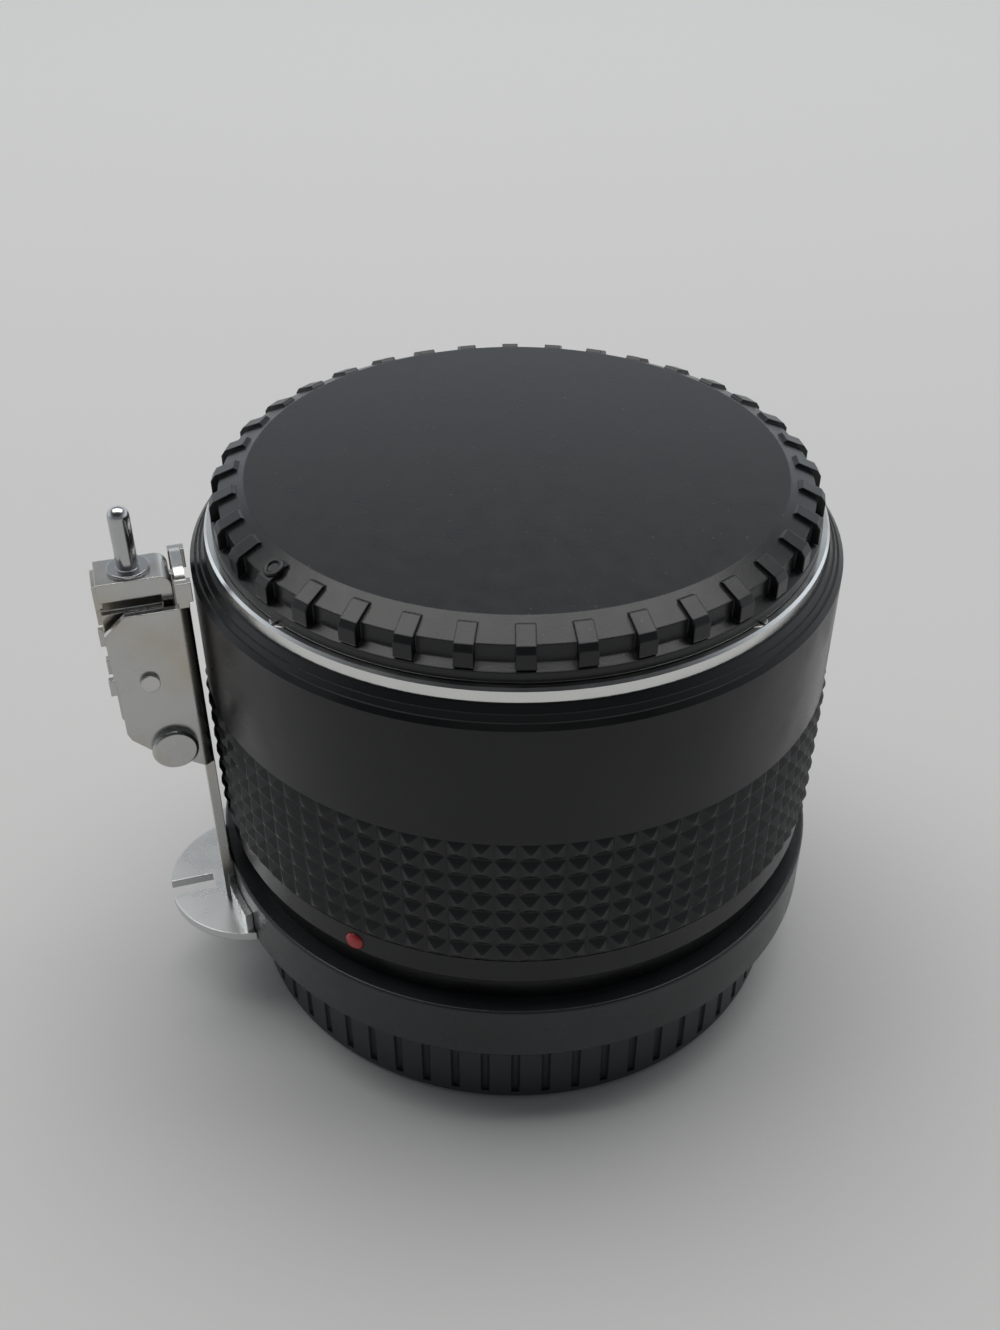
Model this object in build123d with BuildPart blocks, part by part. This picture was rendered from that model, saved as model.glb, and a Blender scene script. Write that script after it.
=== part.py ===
"""Two-times teleconverter for a 44 mm bayonet SLR mount.

It stands on its rear cap, lens side up. The origin is on the optical axis where the cap
meets the table, +Z runs towards the lens, and the meter coupling is on the -X side.
"""

import os
from math import sqrt

from build123d import *

# Heights of the outer bands, from the table up, in millimetres
rear_cap_height = 9.3
cap_gap = 0.1
coupling_band = 8.1
groove_band = 3.1
lip_band = 3.2
grip_band = 15.5
plain_band = 13.0
shoulder_band = 1.6
front_flange_thickness = 1.5
rear_flange_thickness = 1.4

# Outer radii
rear_cap_radius = 30.4
rear_flange_radius = 31.2
coupling_ring_radius = 33.15
coupling_foot_radius = 32.3
groove_radius = 31.2
lip_radius = 32.25
band_radius = 32.5
shoulder_top_radius = 31.0
front_flange_radius = 30.8

# Bayonet, the same at both ends
throat_radius = 22.1
lug_reach = 1.65
lug_clearance = 0.25
lug_count = 3
lug_angle = 50.0
lug_gap_angle = 60.0
lug_thickness = 1.4
lug_drop = 2.3
tube_wall = 1.25
tube_end = 0.5

# Clearances and small sizes that many pieces share
fixed_fit = 0.04
running_fit = 0.06
end_play = 0.15
open_gap = 0.35
overrun = 2.0
edge_break = 0.25

# Screws
screw_radius = 0.65
screw_head_radius = 1.15
screw_head_height = 0.6
driver_slot_width = 0.35
rear_screw_count = 5
rear_screw_length = 4.2
front_screw_count = 4
front_screw_length = 4.2
front_screw_start = 45.0
cell_screw_count = 3
cell_screw_length = 2.7
cell_screw_start = 20.0
plate_screw_grip = 1.9

# Main barrel and index dot
journal_radius = 30.4
bore_radius = 27.6
neck_radius = 30.3
spigot_radius = 29.2
spigot_length = 4.0
lip_rounding = 0.5
ledge_radius = 24.8
ledge_thickness = 1.8
dot_azimuth = -119.5
dot_radius = 1.0
dot_depth = 0.5

# Grip ring
grip_tip_radius = 32.75
grip_root_radius = 32.2
grip_rows = 7

# Front barrel and front mount
front_bore_radius = 27.95
shoulder_steps_shares = [(0, 0), (0.3, 0.28), (0.42, 0.28), (0.62, 0.62), (0.74, 0.62), (1, 1)]
mount_spigot_length = 2.5
mount_relief_radius = 24.3
socket_lug_thickness = 1.6
tongue_angle = 36.0
spring_thickness = 0.3

# Lens release, on the side away from the coupling prong
release_azimuth = 90.0
release_travel = 2.0
stem_height = 2.6
stem_width = 4.0
lock_pin_radius = 0.9
lock_pin_place = 26.1
lock_pin_reach = 1.1
carriage_width = 5.2
carriage_depth = 2.6
carriage_margin = 0.5
button_width = 9.0
button_height = 6.4
button_thickness = 1.7
button_rounding = 0.5
button_rib_count = 4
button_rib_depth = 0.35
button_rib_share = 0.45
leaf_width = 3.0
leaf_length = 6.5

# Front cap
cap_height = 4.4
cap_rim_radius = 30.0
cap_rim_height = 1.0
cap_rim_slope = 0.5
cap_wall_radius = 29.07
cap_disc_radius = 26.5
cap_bevel_drop = 1.2
cap_hollow_radius = 27.6
cap_top_thickness = 1.9
cap_tooth_count = 36
cap_tooth_phase = -89.0
cap_tooth_width = 1.7
cap_tooth_radius = 29.95
cap_tooth_inner_radius = 27.2
cap_tooth_rise = 0.4

# Rear cap
rear_cap_floor = 1.6
rear_cap_wall = 1.5
rear_cap_inner_wall = 1.6
rear_cap_chamfer = 0.6
rear_cap_flute_count = 60
rear_cap_flute_radius = 0.45
rear_cap_flute_margin = 1.2

# Coupling ring and the azimuth of everything that it carries
coupling_azimuth = 196.5
coupling_rounding = 0.35

# Coupling arm: sheet strip with two folded cheeks for the pin lever
arm_thickness = 1.0
strip_half_width = 3.2
arm_half_width = 3.6
arm_top_z = 54.7
arm_corner_radius = 2.4
arm_bend_radius = 1.2
arm_screw_z = 15.3
arm_screw_offset = 1.6
cheek_sheet = 0.7
cheek_reach = 7.26
cheek_low_z = 31.9
cheek_high_z = 51.3
cheek_edge_shares = [
    (0, 0),
    (0.68, 0.165),
    (0.91, 0.25),
    (0.96, 0.295),
    (0.96, 0.57),
    (0.99, 0.7),
    (1, 0.9),
    (0.7, 1),
    (0, 1),
]
guide_lip_width = 1.0
guide_lip_reach = 0.39
guide_lip_rise = 0.16
guide_lip_low_z = 51.9
guide_lip_high_z = 54.0

# Pivot stud and detent rivets in the cheeks
stud_place = (36.83, 35.1)
stud_radius = 1.2
stud_head_radius = 2.3
stud_head_height = 0.8
detent_place = (38.07, 43.5)
detent_radius = 0.6
detent_head_radius = 0.95
detent_head_height = 0.4
detent_nose = 0.3

# Prong: slotted half-disc that stands out at the arm's foot
prong_sheet = 1.0
prong_top_z = 12.0
prong_centre = 30.7
prong_radius = 9.3
prong_slot_width = 2.3
prong_slot_start = 35.3
prong_tab_sheet = 0.8
prong_tab_height = 2.6
prong_tab_angle = 8.5
prong_tab_turn = 11.0
prong_screw_z = 13.4

# Pin lever: folded channel with a cap plate that carries the coupling pin
lever_sheet = 0.7
lever_half_width = 2.2
lever_outer = 41.4
lever_top_z = 54.3
lever_bend_radius = 1.2
lever_skirt_inner = 35.6
lever_skirt_z = 52.3
lever_wall_top_z = 51.0
lever_wall_low_z = 38.6
lever_ear_radius = 2.0
lever_boss_radius = 1.9
lever_tail_reach = 0.4
lever_tail_width = 3.2
lever_tail_high_z = 53.8
lever_tail_low_z = 51.2
nib_reach = 0.55
nib_height = 1.8
nib_low_zs = (41.5, 47.5)

# Coupling pin
pin_place = 38.2
pin_radius = 1.03
pin_top_z = 61.0
pin_collar_radius = 2.0
pin_collar_height = 0.3
pin_shank_radius = 0.75
pin_foot_radius = 1.1
pin_foot_height = 0.35

# Lens cell and glass
cell_flange_thickness = 1.5
cell_tube_radius = 18.6
cell_nose_radius = 16.8
cell_low_z = 12.0
cell_high_z = 40.0
front_group_radius = 15.0
rear_group_radius = 14.0
cell_stop_radius = 12.6
cell_stop_low_z = 16.4
cell_stop_high_z = 26.0
rear_element_edge = 2.6
rear_element_bulge = 1.0
cemented_rear_edge = 2.4
cemented_front_edge = 2.6
cemented_bulge = 1.4
cemented_hollow = 1.0
element_spacer_height = 2.6
element_spacer_wall = 1.6
front_element_edge = 3.4
front_element_bulge = 1.6
retainer_wall = 1.7
retainer_height = 1.5
retainer_notch_width = 1.2
retainer_notch_depth = 0.6

# Aperture transfer ring
transfer_ring_wall = 1.9
transfer_ring_height = 4.0
transfer_bar_angle = 6.0
transfer_turn = 30.0
rear_bar_azimuth = 250.0
rear_bar_inner = 18.95
rear_bar_thickness = 1.2
rear_bar_low_z = 5.6
front_bar_azimuth = 215.0
front_bar_inner = 19.45
front_bar_thickness = 1.0
front_bar_high_z = 50.5
spring_wire_radius = 0.25
spring_wire_angle = 300.0
retainer_ring_wall = 0.9
retainer_ring_height = 0.6
retainer_ring_grip = 0.25
retainer_ring_angle = 345.0

# Stations along the axis that follow from the bands
rear_flange_z = rear_cap_height + cap_gap
rear_seat_z = rear_flange_z + rear_flange_thickness
groove_bottom_z = rear_flange_z + coupling_band
lip_bottom_z = groove_bottom_z + groove_band
grip_bottom_z = lip_bottom_z + lip_band
band_bottom_z = grip_bottom_z + grip_band
shoulder_z = band_bottom_z + plain_band
front_seat_z = shoulder_z + shoulder_band
front_flange_z = front_seat_z + front_flange_thickness

# Bayonet radii and angles that follow from the throat
pocket_radius = throat_radius + lug_reach
lug_radius = pocket_radius - lug_clearance
tube_radius = throat_radius - lug_clearance
tube_bore_radius = tube_radius - tube_wall
lug_azimuths = [360 / lug_count * index for index in range(lug_count)]
socket_azimuths = [azimuth + 180 / lug_count for azimuth in lug_azimuths]


# Shapes that several pieces share


def outline(plane, *points):
    """Closed straight-sided face on a plane."""
    with BuildSketch(plane) as drawn:
        with BuildLine():
            Polyline(*points, close=True)
        make_face()
    return drawn.sketch


def profile(*points):
    """Face of (radius, height) points, to be revolved about the optical axis."""
    return outline(Plane.XZ, *points)


def sector(height, inner, outer, middle, span):
    """Ring sector between two radii, centred on an azimuth, at a height."""
    with BuildSketch(Plane.XY.offset(height)) as drawn:
        with BuildLine():
            inner_arc = CenterArc((0, 0), inner, middle - span / 2, span)
            outer_arc = CenterArc((0, 0), outer, middle - span / 2, span)
            Line(inner_arc @ 0, outer_arc @ 0)
            Line(inner_arc @ 1, outer_arc @ 1)
        make_face()
    return drawn.sketch


def turned(azimuth):
    """Horizontal plane on the table whose X axis points outwards at an azimuth."""
    return Plane.XY.rotated((0, 0, azimuth))


def beside(azimuth, offset):
    """Upright plane of (radius, height) at an azimuth, moved sideways by an offset."""
    base = turned(azimuth)
    origin = base.from_local_coords((0, offset, 0))
    return Plane(origin=origin, x_dir=base.x_dir, z_dir=-base.y_dir)


def facing(azimuth, radius, height, offset=0):
    """Plane that faces away from the axis at an azimuth, moved sideways by an offset."""
    base = turned(azimuth)
    origin = base.from_local_coords((radius, offset, height))
    return Plane(origin=origin, x_dir=base.y_dir, z_dir=base.x_dir)


def rim_planes(radius, height, count, start, upward):
    """Planes spread evenly on a circle about the axis, facing up (1) or down (-1)."""
    places = []
    for index in range(count):
        base = turned(start + 360 * index / count)
        origin = base.from_local_coords((radius, 0, height))
        places.append(Plane(origin=origin, x_dir=base.x_dir, z_dir=(0, 0, upward)))
    return places


def screws(planes, length):
    """Slotted countersunk screws with their heads' faces on the planes."""
    with BuildPart() as one:
        revolve(
            profile(
                (0, 0),
                (screw_head_radius, 0),
                (screw_radius, -screw_head_height),
                (screw_radius, -length),
                (0, -length),
            ),
            axis=Axis.Z,
        )
        with BuildSketch():
            Rectangle(2 * screw_head_radius + overrun, driver_slot_width)
        extrude(amount=-screw_head_height / 2, mode=Mode.SUBTRACT)
    return [plane.location * one.part for plane in planes]


def screw_seats(planes, length):
    """The spaces that such screws take, with the fixed fit all round."""
    head, head_depth = screw_head_radius + fixed_fit, screw_head_height + fixed_fit
    shank, shank_depth = screw_radius + fixed_fit, length + fixed_fit
    with BuildPart() as one:
        revolve(
            profile(
                (0, overrun),
                (head, overrun),
                (head, 0),
                (shank, -head_depth),
                (shank, -shank_depth),
                (0, -shank_depth),
            ),
            axis=Axis.Z,
        )
    return [plane.location * one.part for plane in planes]


def glass(radius, low_z, high_z, low_bulge, high_bulge):
    """Lens element from its edge's heights and how far its faces rise at the axis."""
    with BuildPart() as element:
        with BuildSketch(Plane.XZ):
            with BuildLine():
                for edge_z, bulge in ((low_z, low_bulge), (high_z, high_bulge)):
                    if bulge == 0:
                        Line((0, edge_z), (radius, edge_z))
                    else:
                        TangentArc((0, edge_z + bulge), (radius, edge_z), tangent=(1, 0))
                Line((radius, low_z), (radius, high_z))
                Line((0, low_z + low_bulge), (0, high_z + high_bulge))
            make_face()
        revolve(axis=Axis.Z)
    return element


def dome_rise(radius, bulge, place):
    """How far a domed face has risen above its edge at a place nearer the axis."""
    sphere_radius = (radius**2 + bulge**2) / (2 * bulge)
    return bulge - sphere_radius + sqrt(sphere_radius**2 - place**2)


def notched_ring(outer, low_z, notch_z):
    """Threaded retaining ring with two notches for a spanner."""
    with BuildPart() as ring:
        with BuildSketch(Plane.XY.offset(low_z)):
            Circle(outer)
            Circle(outer - retainer_wall, mode=Mode.SUBTRACT)
        extrude(amount=retainer_height)
        with BuildSketch(Plane.XY.offset(notch_z)):
            Rectangle(2 * outer + overrun, retainer_notch_width)
        extrude(amount=retainer_notch_depth, mode=Mode.SUBTRACT)
    return ring


def write(piece, name):
    """Labels a finished piece and writes its STEP file."""
    piece.part.label = name
    export_step(piece.part, f"parts/{name}.step")


os.makedirs("parts", exist_ok=True)

# Main barrel: journal for the coupling ring, groove, lip, neck for the grip, spigot
rear_screw_planes = rim_planes(
    (journal_radius + bore_radius) / 2, rear_flange_z, rear_screw_count, 0, -1
)
cell_seat_z = lip_bottom_z
cell_flange_z = cell_seat_z + cell_flange_thickness
cell_screw_planes = rim_planes(
    (ledge_radius + bore_radius) / 2, cell_flange_z, cell_screw_count, cell_screw_start, 1
)
dot_plane = facing(dot_azimuth, lip_radius, lip_bottom_z + lip_rounding + dot_radius)
spigot_z = band_bottom_z + spigot_length

with BuildPart() as main_barrel:
    revolve(
        profile(
            (journal_radius, rear_seat_z),
            (journal_radius, groove_bottom_z),
            (groove_radius, groove_bottom_z),
            (groove_radius, lip_bottom_z),
            (lip_radius, lip_bottom_z),
            (lip_radius, grip_bottom_z),
            (neck_radius, grip_bottom_z),
            (neck_radius, band_bottom_z),
            (spigot_radius, band_bottom_z),
            (spigot_radius, spigot_z),
            (bore_radius, spigot_z),
            (bore_radius, cell_seat_z),
            (ledge_radius, cell_seat_z),
            (ledge_radius, cell_seat_z - ledge_thickness),
            (bore_radius, cell_seat_z - ledge_thickness),
            (bore_radius, rear_seat_z),
        ),
        axis=Axis.Z,
    )
    lip_edges = edges().filter_by(GeomType.CIRCLE).group_by(SortBy.RADIUS)[-1]
    fillet(lip_edges.sort_by(Axis.Z)[0], radius=lip_rounding)
    add(screw_seats(rear_screw_planes, rear_screw_length), mode=Mode.SUBTRACT)
    add(screw_seats(cell_screw_planes, cell_screw_length), mode=Mode.SUBTRACT)
    with BuildSketch(dot_plane):
        Circle(dot_radius + fixed_fit)
    extrude(amount=-dot_depth - fixed_fit, mode=Mode.SUBTRACT)
write(main_barrel, "main_barrel")

with BuildPart() as index_dot:
    with BuildSketch(dot_plane):
        Circle(dot_radius)
    extrude(amount=-dot_depth)
write(index_dot, "index_dot")

# Grip ring: rows of teeth round the neck
grip_pitch = grip_band / grip_rows
grip_bore = neck_radius + fixed_fit
grip_edge = [(grip_bore, grip_bottom_z), (grip_root_radius, grip_bottom_z)]
for row in range(grip_rows):
    row_z = grip_bottom_z + row * grip_pitch
    grip_edge.append((grip_tip_radius, row_z + grip_pitch / 2))
    grip_edge.append((grip_root_radius, row_z + grip_pitch))
grip_edge.append((grip_bore, band_bottom_z))

with BuildPart() as grip_ring:
    revolve(profile(*grip_edge), axis=Axis.Z)
write(grip_ring, "grip_ring")

# Front barrel: plain band, stepped shoulder, window for the lens release
front_screw_circle = (front_flange_radius + front_bore_radius) / 2
front_screw_planes = rim_planes(
    front_screw_circle, front_flange_z, front_screw_count, front_screw_start, 1
)
window_low_z = spigot_z + open_gap
window_height = release_travel + stem_height + 2 * running_fit
socket_radius = spigot_radius + fixed_fit
shoulder_drop = band_radius - shoulder_top_radius
shoulder_edge = [
    (band_radius - inward * shoulder_drop, shoulder_z + upward * shoulder_band)
    for inward, upward in shoulder_steps_shares
]

with BuildPart() as front_barrel:
    revolve(
        profile(
            (socket_radius, band_bottom_z),
            (band_radius, band_bottom_z),
            *shoulder_edge,
            (front_bore_radius, front_seat_z),
            (front_bore_radius, spigot_z + end_play),
            (socket_radius, spigot_z + end_play),
        ),
        axis=Axis.Z,
    )
    add(screw_seats(front_screw_planes, front_screw_length), mode=Mode.SUBTRACT)
    with BuildSketch(turned(release_azimuth).offset(window_low_z)):
        with Locations((band_radius, 0)):
            Rectangle(2 * (band_radius - bore_radius), stem_width + 2 * running_fit)
    extrude(amount=window_height, mode=Mode.SUBTRACT)
write(front_barrel, "front_barrel")

# Front mount: chrome flange with inner lugs, and the spigot behind it
mount_spigot_z = front_seat_z - mount_spigot_length
mount_spigot_radius = front_bore_radius - fixed_fit
socket_lug_z = front_flange_z - socket_lug_thickness

with BuildPart() as front_mount:
    revolve(
        profile(
            (throat_radius, front_flange_z),
            (front_flange_radius - edge_break, front_flange_z),
            (front_flange_radius, front_flange_z - edge_break),
            (front_flange_radius, front_seat_z),
            (mount_spigot_radius, front_seat_z),
            (mount_spigot_radius, mount_spigot_z),
            (mount_relief_radius, mount_spigot_z),
            (mount_relief_radius, socket_lug_z),
            (throat_radius, socket_lug_z),
        ),
        axis=Axis.Z,
    )
    for azimuth in lug_azimuths:
        extrude(
            sector(front_flange_z, throat_radius / 2, pocket_radius, azimuth, lug_gap_angle),
            amount=-socket_lug_thickness,
            mode=Mode.SUBTRACT,
        )
    add(screw_seats(front_screw_planes, front_screw_length), mode=Mode.SUBTRACT)
    with BuildSketch(turned(release_azimuth).offset(mount_spigot_z)):
        with Locations((lock_pin_place, 0)):
            Circle(lock_pin_radius + running_fit)
    extrude(amount=mount_spigot_length + front_flange_thickness, mode=Mode.SUBTRACT)
write(front_mount, "front_mount")

with BuildPart() as front_mount_screws:
    add(screws(front_screw_planes, front_screw_length))
write(front_mount_screws, "front_mount_screws")

# Leaf spring ring behind the front mount, with a tongue under each lug
mount_spring_z = mount_spigot_z - spring_thickness

with BuildPart() as mount_spring:
    with BuildSketch(Plane.XY.offset(mount_spring_z)):
        Circle(mount_spigot_radius)
        Circle(mount_relief_radius, mode=Mode.SUBTRACT)
    extrude(amount=spring_thickness)
    for azimuth in socket_azimuths:
        extrude(
            sector(
                mount_spring_z,
                throat_radius + lug_clearance,
                mount_relief_radius + lug_clearance,
                azimuth,
                tongue_angle,
            ),
            amount=spring_thickness,
        )
    with BuildSketch(turned(release_azimuth).offset(mount_spring_z)):
        with Locations((lock_pin_place, 0)):
            Circle(lock_pin_radius + open_gap)
    extrude(amount=spring_thickness, mode=Mode.SUBTRACT)
write(mount_spring, "mount_spring")

# Lens release: pin on its carriage, outer button, screw and leaf spring
carriage_face = bore_radius - open_gap / 2
button_low_face = band_radius + open_gap
button_face = button_low_face + button_thickness
stem_z = window_low_z + running_fit + release_travel + stem_height / 2
carriage_low_z = stem_z - stem_height / 2 - carriage_margin
carriage_height = stem_height + 2 * carriage_margin
button_screw_planes = [facing(release_azimuth, button_face, stem_z)]
button_screw_length = button_face - carriage_face + carriage_depth / 2
button_rib_pitch = (button_height - 4 * button_rounding) / button_rib_count

with BuildPart() as lock_pin:
    with BuildSketch(turned(release_azimuth).offset(carriage_low_z)):
        with Locations((carriage_face - carriage_depth / 2, 0)):
            Rectangle(carriage_depth, carriage_width)
    extrude(amount=carriage_height)
    with BuildSketch(turned(release_azimuth).offset(stem_z)):
        with Locations((lock_pin_place, 0)):
            Circle(lock_pin_radius)
    extrude(amount=front_flange_z + lock_pin_reach - stem_z)
    chamfer(edges().group_by(Axis.Z)[-1], length=edge_break)
    add(screw_seats(button_screw_planes, button_screw_length), mode=Mode.SUBTRACT)
write(lock_pin, "lock_pin")

with BuildPart() as release_button:
    with BuildSketch(facing(release_azimuth, button_low_face, stem_z)):
        RectangleRounded(button_width, button_height, 2 * button_rounding)
    extrude(amount=button_thickness)
    fillet(faces().sort_by(Axis.Y)[-1].edges(), radius=button_rounding)
    with BuildSketch(facing(release_azimuth, button_face, stem_z)):
        with GridLocations(0, button_rib_pitch, 1, button_rib_count):
            Rectangle(button_width - 4 * button_rounding, button_rib_pitch * button_rib_share)
    extrude(amount=-button_rib_depth, mode=Mode.SUBTRACT)
    with BuildSketch(facing(release_azimuth, carriage_face, stem_z)):
        Rectangle(stem_width, stem_height)
    extrude(amount=button_low_face - carriage_face)
    add(screw_seats(button_screw_planes, button_screw_length), mode=Mode.SUBTRACT)
write(release_button, "release_button")

with BuildPart() as button_screw:
    add(screws(button_screw_planes, button_screw_length))
write(button_screw, "button_screw")

leaf_high_z = carriage_low_z - end_play
leaf_back = carriage_face - spring_thickness

with BuildPart() as lock_spring:
    extrude(
        outline(
            beside(release_azimuth, leaf_width / 2),
            (carriage_face, leaf_high_z - leaf_length),
            (carriage_face, leaf_high_z),
            (carriage_face - carriage_depth, leaf_high_z),
            (carriage_face - carriage_depth, leaf_high_z - spring_thickness),
            (leaf_back, leaf_high_z - spring_thickness),
            (leaf_back, leaf_high_z - leaf_length),
        ),
        amount=leaf_width,
    )
write(lock_spring, "lock_spring")

# Front cap: toothed body cap with a bayonet tube under it
cap_seat_z = front_flange_z + cap_gap
cap_top_z = cap_seat_z + cap_height
cap_crease_z = cap_top_z - cap_bevel_drop
cap_hollow_z = cap_top_z - cap_top_thickness
cap_rim_z = cap_seat_z + cap_rim_height
cap_lug_z = front_flange_z - lug_drop - lug_thickness
cap_bevel_slope = cap_bevel_drop / (cap_wall_radius - cap_disc_radius)


def bevel_z(radius):
    """Height of the cap's bevel at a radius."""
    return cap_top_z - (radius - cap_disc_radius) * cap_bevel_slope


with BuildPart() as front_cap:
    revolve(
        profile(
            (0, cap_top_z),
            (cap_disc_radius, cap_top_z),
            (cap_wall_radius, cap_crease_z),
            (cap_wall_radius, cap_rim_z + cap_rim_slope),
            (cap_rim_radius, cap_rim_z),
            (cap_rim_radius, cap_seat_z),
            (cap_hollow_radius, cap_seat_z),
            (cap_hollow_radius, cap_hollow_z),
            (tube_radius, cap_hollow_z),
            (tube_radius, cap_lug_z - tube_end),
            (tube_bore_radius, cap_lug_z - tube_end),
            (tube_bore_radius, cap_hollow_z),
            (0, cap_hollow_z),
        ),
        axis=Axis.Z,
    )
    for azimuth in lug_azimuths:
        extrude(
            sector(cap_lug_z, tube_radius - tube_wall / 2, lug_radius, azimuth, lug_angle),
            amount=lug_thickness,
        )
    tooth_crown_radius = cap_tooth_radius - cap_tooth_rise
    tooth_low_z = cap_rim_z + cap_rim_slope / 2
    tooth_outline = outline(
        Plane.XZ,
        (cap_tooth_inner_radius, bevel_z(cap_tooth_inner_radius)),
        (cap_tooth_inner_radius + cap_tooth_rise, bevel_z(cap_tooth_inner_radius) + cap_tooth_rise / 2),
        (tooth_crown_radius, bevel_z(tooth_crown_radius) + cap_tooth_rise),
        (cap_tooth_radius, bevel_z(cap_tooth_radius)),
        (cap_tooth_radius, tooth_low_z),
        (cap_hollow_radius + cap_tooth_rise, tooth_low_z),
    )
    tooth = extrude(tooth_outline, amount=cap_tooth_width / 2, both=True, mode=Mode.PRIVATE)
    with PolarLocations(0, cap_tooth_count, start_angle=cap_tooth_phase):
        add(tooth)
write(front_cap, "front_cap")

# Rear mount: chrome flange with the male bayonet
male_lug_z = rear_flange_z - lug_drop - lug_thickness

with BuildPart() as rear_mount:
    revolve(
        profile(
            (tube_bore_radius, rear_seat_z),
            (rear_flange_radius, rear_seat_z),
            (rear_flange_radius, rear_flange_z),
            (tube_radius, rear_flange_z),
            (tube_radius, male_lug_z - tube_end),
            (tube_bore_radius, male_lug_z - tube_end),
        ),
        axis=Axis.Z,
    )
    for azimuth in lug_azimuths:
        extrude(
            sector(male_lug_z, tube_radius - tube_wall / 2, lug_radius, azimuth, lug_angle),
            amount=lug_thickness,
        )
    add(screw_seats(rear_screw_planes, rear_screw_length), mode=Mode.SUBTRACT)
write(rear_mount, "rear_mount")

with BuildPart() as rear_mount_screws:
    add(screws(rear_screw_planes, rear_screw_length))
write(rear_mount_screws, "rear_mount_screws")

# Rear cap: double-walled cup with inner lugs and fluted wall
rear_pocket_radius = pocket_radius + lug_clearance
rear_cup_radius = rear_pocket_radius + rear_cap_inner_wall
rear_hollow_radius = rear_cap_radius - rear_cap_wall
rear_socket_z = rear_flange_z - lug_drop + lug_clearance

with BuildPart() as rear_cap:
    revolve(
        profile(
            (0, 0),
            (rear_cap_radius - rear_cap_chamfer, 0),
            (rear_cap_radius, rear_cap_chamfer),
            (rear_cap_radius, rear_cap_height),
            (rear_hollow_radius, rear_cap_height),
            (rear_hollow_radius, rear_cap_floor),
            (rear_cup_radius, rear_cap_floor),
            (rear_cup_radius, rear_cap_height),
            (rear_pocket_radius, rear_cap_height),
            (rear_pocket_radius, rear_cap_floor),
            (0, rear_cap_floor),
        ),
        axis=Axis.Z,
    )
    for azimuth in socket_azimuths:
        extrude(
            sector(
                rear_socket_z, throat_radius, rear_pocket_radius + lug_clearance, azimuth, lug_angle
            ),
            amount=rear_cap_height - rear_socket_z,
        )
    with BuildSketch(Plane.XY.offset(rear_cap_flute_margin)):
        with PolarLocations(rear_cap_radius, rear_cap_flute_count):
            Circle(rear_cap_flute_radius)
    extrude(amount=rear_cap_height - 2 * rear_cap_flute_margin, mode=Mode.SUBTRACT)
write(rear_cap, "rear_cap")

# Coupling ring, which turns on the main barrel's journal
coupling_top_z = groove_bottom_z - end_play
ring_bore = journal_radius + running_fit
plate_inner = coupling_ring_radius + fixed_fit
arm_outer = plate_inner + arm_thickness
tab_outer = plate_inner + prong_tab_sheet
arm_screw_length = arm_thickness + plate_screw_grip
arm_screw_planes = [
    facing(coupling_azimuth, arm_outer, arm_screw_z, offset)
    for offset in (-arm_screw_offset, arm_screw_offset)
]
prong_screw_length = prong_tab_sheet + plate_screw_grip
prong_tab_azimuths = [coupling_azimuth - prong_tab_turn, coupling_azimuth + prong_tab_turn]
prong_screw_planes = [facing(azimuth, tab_outer, prong_screw_z) for azimuth in prong_tab_azimuths]

with BuildPart() as coupling_ring:
    revolve(
        profile(
            (ring_bore, coupling_top_z),
            (coupling_ring_radius, coupling_top_z),
            (coupling_ring_radius, prong_top_z - prong_sheet),
            (coupling_foot_radius, rear_flange_z + open_gap),
            (rear_flange_radius + open_gap, rear_flange_z + open_gap),
            (rear_flange_radius + open_gap, rear_seat_z + end_play),
            (ring_bore, rear_seat_z + end_play),
        ),
        axis=Axis.Z,
    )
    ring_edges = edges().filter_by(GeomType.CIRCLE).group_by(SortBy.RADIUS)[-1]
    fillet(ring_edges.sort_by(Axis.Z)[-1], radius=coupling_rounding)
    add(screw_seats(arm_screw_planes, arm_screw_length), mode=Mode.SUBTRACT)
    add(screw_seats(prong_screw_planes, prong_screw_length), mode=Mode.SUBTRACT)
write(coupling_ring, "coupling_ring")

# Coupling arm
arm_foot_z = prong_top_z + fixed_fit
strip_sag = plate_inner - sqrt(plate_inner**2 - strip_half_width**2)
cheek_inner = arm_half_width - cheek_sheet
cheek_height = cheek_high_z - cheek_low_z
cheek_edge = [
    (arm_outer + outward * cheek_reach, cheek_low_z + upward * cheek_height)
    for outward, upward in cheek_edge_shares
]

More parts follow.
